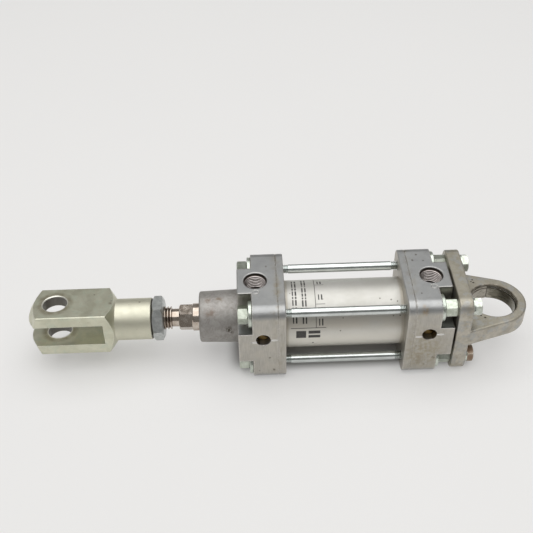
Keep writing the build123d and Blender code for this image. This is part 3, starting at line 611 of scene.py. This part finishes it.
def thread_finish():
    """Cut thread: crests painted bright as a painted highlight, roots and flanks painted dark as painted
    shade, with a painted shadow on one side of each port.
    """
    f = Finish("cut_thread")
    tint = f.noise(1.6, 4, 0.6)
    crests = f.level(tint, 0.3, 0.7, 0.55, 1.0)
    inside = [f.ring((x, 0, 0), "Z", PORT_WALL_R - 0.40, PORT_WALL_R - 0.12) for x in PORT_X.values()]
    crests = f.times(crests, f.most(*inside))
    shaded = f.most(*(f.near((x - 4.4, 0.5, 16.5), 3.8, 0.8) for x in PORT_X.values()))
    crests = f.times(crests, f.math("SUBTRACT", 1.0, f.times(shaded, 0.75)))
    # crests painted light and roots dark: painted highlight and painted shade
    colour = f.mix(crests, (0.07, 0.055, 0.045), (0.66, 0.605, 0.58))
    return f.done(colour, f.level(tint, 0.3, 0.7, 0.30, 0.40))


cut_thread = thread_finish()
for side in ("front", "rear"):
    port_thread(side, cut_thread)

PRINT_SINK, PRINT_LIFT = 0.01, 0.012             # how far the ink goes into the tube and stands proud
DEGREES_PER_CELL = 3.0


def print_patch(bm, x0, x1, a0, a1):
    """A thin curved plate of ink, from x0 to x1 behind the front cover and from angle a0 to a1.

    Angles are in degrees from the top of the tube towards -Y.
    """
    cells = max(1, math.ceil((a1 - a0) / DEGREES_PER_CELL))
    loops = []
    for i in range(cells + 1):
        angle = math.radians(a0 + (a1 - a0) * i / cells)
        low, high = TUBE_R - PRINT_SINK, TUBE_R + PRINT_LIFT
        corners = [(x0, low), (x1, low), (x1, high), (x0, high)]
        loops.append([bm.verts.new(((FRONT_FACE + x) * MM, -r * math.sin(angle) * MM,
                                    r * math.cos(angle) * MM)) for x, r in corners])
    skin(bm, loops)


def barrel_print():
    """Plain bars and ruled lines where the barrel carries its data, with no letters."""
    bm = bmesh.new()
    wide_row = [(-24, -16), (-14, -3), (-1, 4), (6, 15), (17, 21), (23, 33), (36, 40), (42, 49), (52, 63)]
    number_row = [(-28, -22), (-20, -8), (-6, -4), (-1, 9), (11, 17), (19, 22), (24, 35), (41, 47), (53, 64)]
    for a0, a1 in wide_row:
        print_patch(bm, 3.1, 3.65, a0, a1)
        print_patch(bm, 4.3, 5.0, a0, a1)
    for a0, a1 in number_row:
        print_patch(bm, 7.2, 7.85, a0, a1)
        print_patch(bm, 8.5, 9.1, a0, a1)
    print_patch(bm, 12.75, 13.0, -30, 72)
    print_patch(bm, 2.2, 17.1, 71.2, 72.3)
    for a0, a1 in ((-20, -11), (14, 24), (56, 68)):
        print_patch(bm, 14.1, 14.6, a0, a1)
        print_patch(bm, 15.3, 15.9, a0, a1)
    for a in (-9, 31):
        print_patch(bm, 13.0, 16.9, a, a + 0.9)
    print_patch(bm, 4.4, 8.6, 77, 92)
    print_patch(bm, 9.6, 14.6, 77, 83)
    print_patch(bm, 9.6, 14.6, 86, 92)
    print_patch(bm, 11.2, 12.0, 105.5, 108.0)
    ink = plain_finish("print_ink", (0.035, 0.033, 0.032), (0.07, 0.066, 0.06), (0.40, 0.60), 0.0, size=0.8)
    piece("barrel_print", bm, ink, "cylinder")


barrel_print()


# ---- floor, light, camera -----------------------------------------------------------------
FLOOR_HALF = 3.0                                 # metres
FLOOR_GLOW = 0.31                                # keeps the shadows light
UNLIT_X = -62.0                                  # middle of the patch that does not glow


def floor():
    """Pale paper that glows a little, except under the covers and the barrel."""
    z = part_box("rear_cover")[0].z
    bm = bmesh.new()
    bmesh.ops.create_grid(bm, x_segments=2, y_segments=2, size=FLOOR_HALF)
    bmesh.ops.translate(bm, verts=bm.verts, vec=(0, 0, z))
    f = Finish("pale_paper", metallic=0.0, Emission_Color=(1.0, 0.995, 0.985, 1.0))
    from_middle = f.math("ABSOLUTE", f.math("ADD", f.axis(f.place, "X"), -UNLIT_X))
    under = f.times(f.level(f.math("ABSOLUTE", f.axis(f.place, "Y")), 19.0, 7.0),
                    f.level(from_middle, 58.0, 46.0))
    f.feed(f.shader.inputs["Emission Strength"], f.level(under, 0.0, 1.0, FLOOR_GLOW, 0.0))
    tone = f.noise(160, 2, 0.5)
    paper = f.done(f.mix(tone, (0.495, 0.49, 0.483), (0.515, 0.51, 0.503)), 0.75)
    obj = new_object("floor", bm, paper)


floor()


def softbox(name, centre, target, size, power):
    data = bpy.data.lights.new(name, "AREA")
    data.shape = "RECTANGLE"
    data.size, data.size_y = size
    data.energy = power
    obj = bpy.data.objects.new(name, data)
    obj.location = centre
    obj.rotation_mode = "QUATERNION"
    obj.rotation_quaternion = (Vector(target) - Vector(centre)).to_track_quat("-Z", "Y")
    bpy.context.scene.collection.objects.link(obj)


softbox("overhead", centre=(-0.10, -0.02, 1.0), target=(-0.10, 0.0, 0.0), size=(1.5, 1.5), power=12.6)

# the surroundings are a little brighter behind the object (+Y) than in front
SKY_Y, SKY_STRENGTH = (-0.8, 0.6), (0.24, 0.31)
world = bpy.data.worlds.new("studio")
bpy.context.scene.world = world
world.use_nodes = True
tree = world.node_tree
ground = tree.nodes["Background"]
direction = tree.nodes.new("ShaderNodeTexCoord")
split = tree.nodes.new("ShaderNodeSeparateXYZ")
shade = tree.nodes.new("ShaderNodeMapRange")
tree.links.new(direction.outputs["Generated"], split.inputs[0])
tree.links.new(split.outputs["Y"], shade.inputs["Value"])
for socket, number in zip(shade.inputs[1:5], SKY_Y + SKY_STRENGTH):
    socket.default_value = number
tree.links.new(shade.outputs[0], ground.inputs["Strength"])
ground.inputs["Color"].default_value = (1.0, 0.99, 0.97, 1.0)

FOCAL_OVER_FRAME = 867.14 / 533                  # focal length over the width of the frame
SENSOR = 36.0
CAMERA_PLACE = (-0.104071, -0.270497, 0.264389)  # metres
CAMERA_YAW, CAMERA_PITCH, CAMERA_ROLL = 1.229, 41.184, 1.137
camera = bpy.data.objects.new("camera", bpy.data.cameras.new("camera"))
bpy.context.scene.collection.objects.link(camera)
bpy.context.scene.camera = camera
camera.data.sensor_width = SENSOR
camera.data.lens = FOCAL_OVER_FRAME * SENSOR
camera.data.clip_start, camera.data.clip_end = 0.01, 10.0
yaw, pitch, roll = (math.radians(a) for a in (CAMERA_YAW, CAMERA_PITCH, CAMERA_ROLL))
forward = Vector((math.sin(yaw) * math.cos(pitch), math.cos(yaw) * math.cos(pitch), -math.sin(pitch)))
level = forward.cross(Vector((0, 0, 1))).normalized()
down = forward.cross(level)
right = math.cos(roll) * level + math.sin(roll) * down
down = -math.sin(roll) * level + math.cos(roll) * down
camera.matrix_world = Matrix.Translation(CAMERA_PLACE) @ Matrix(
    (right, -down, -forward)).transposed().to_4x4()
bpy.context.scene.view_settings.view_transform = "Standard"
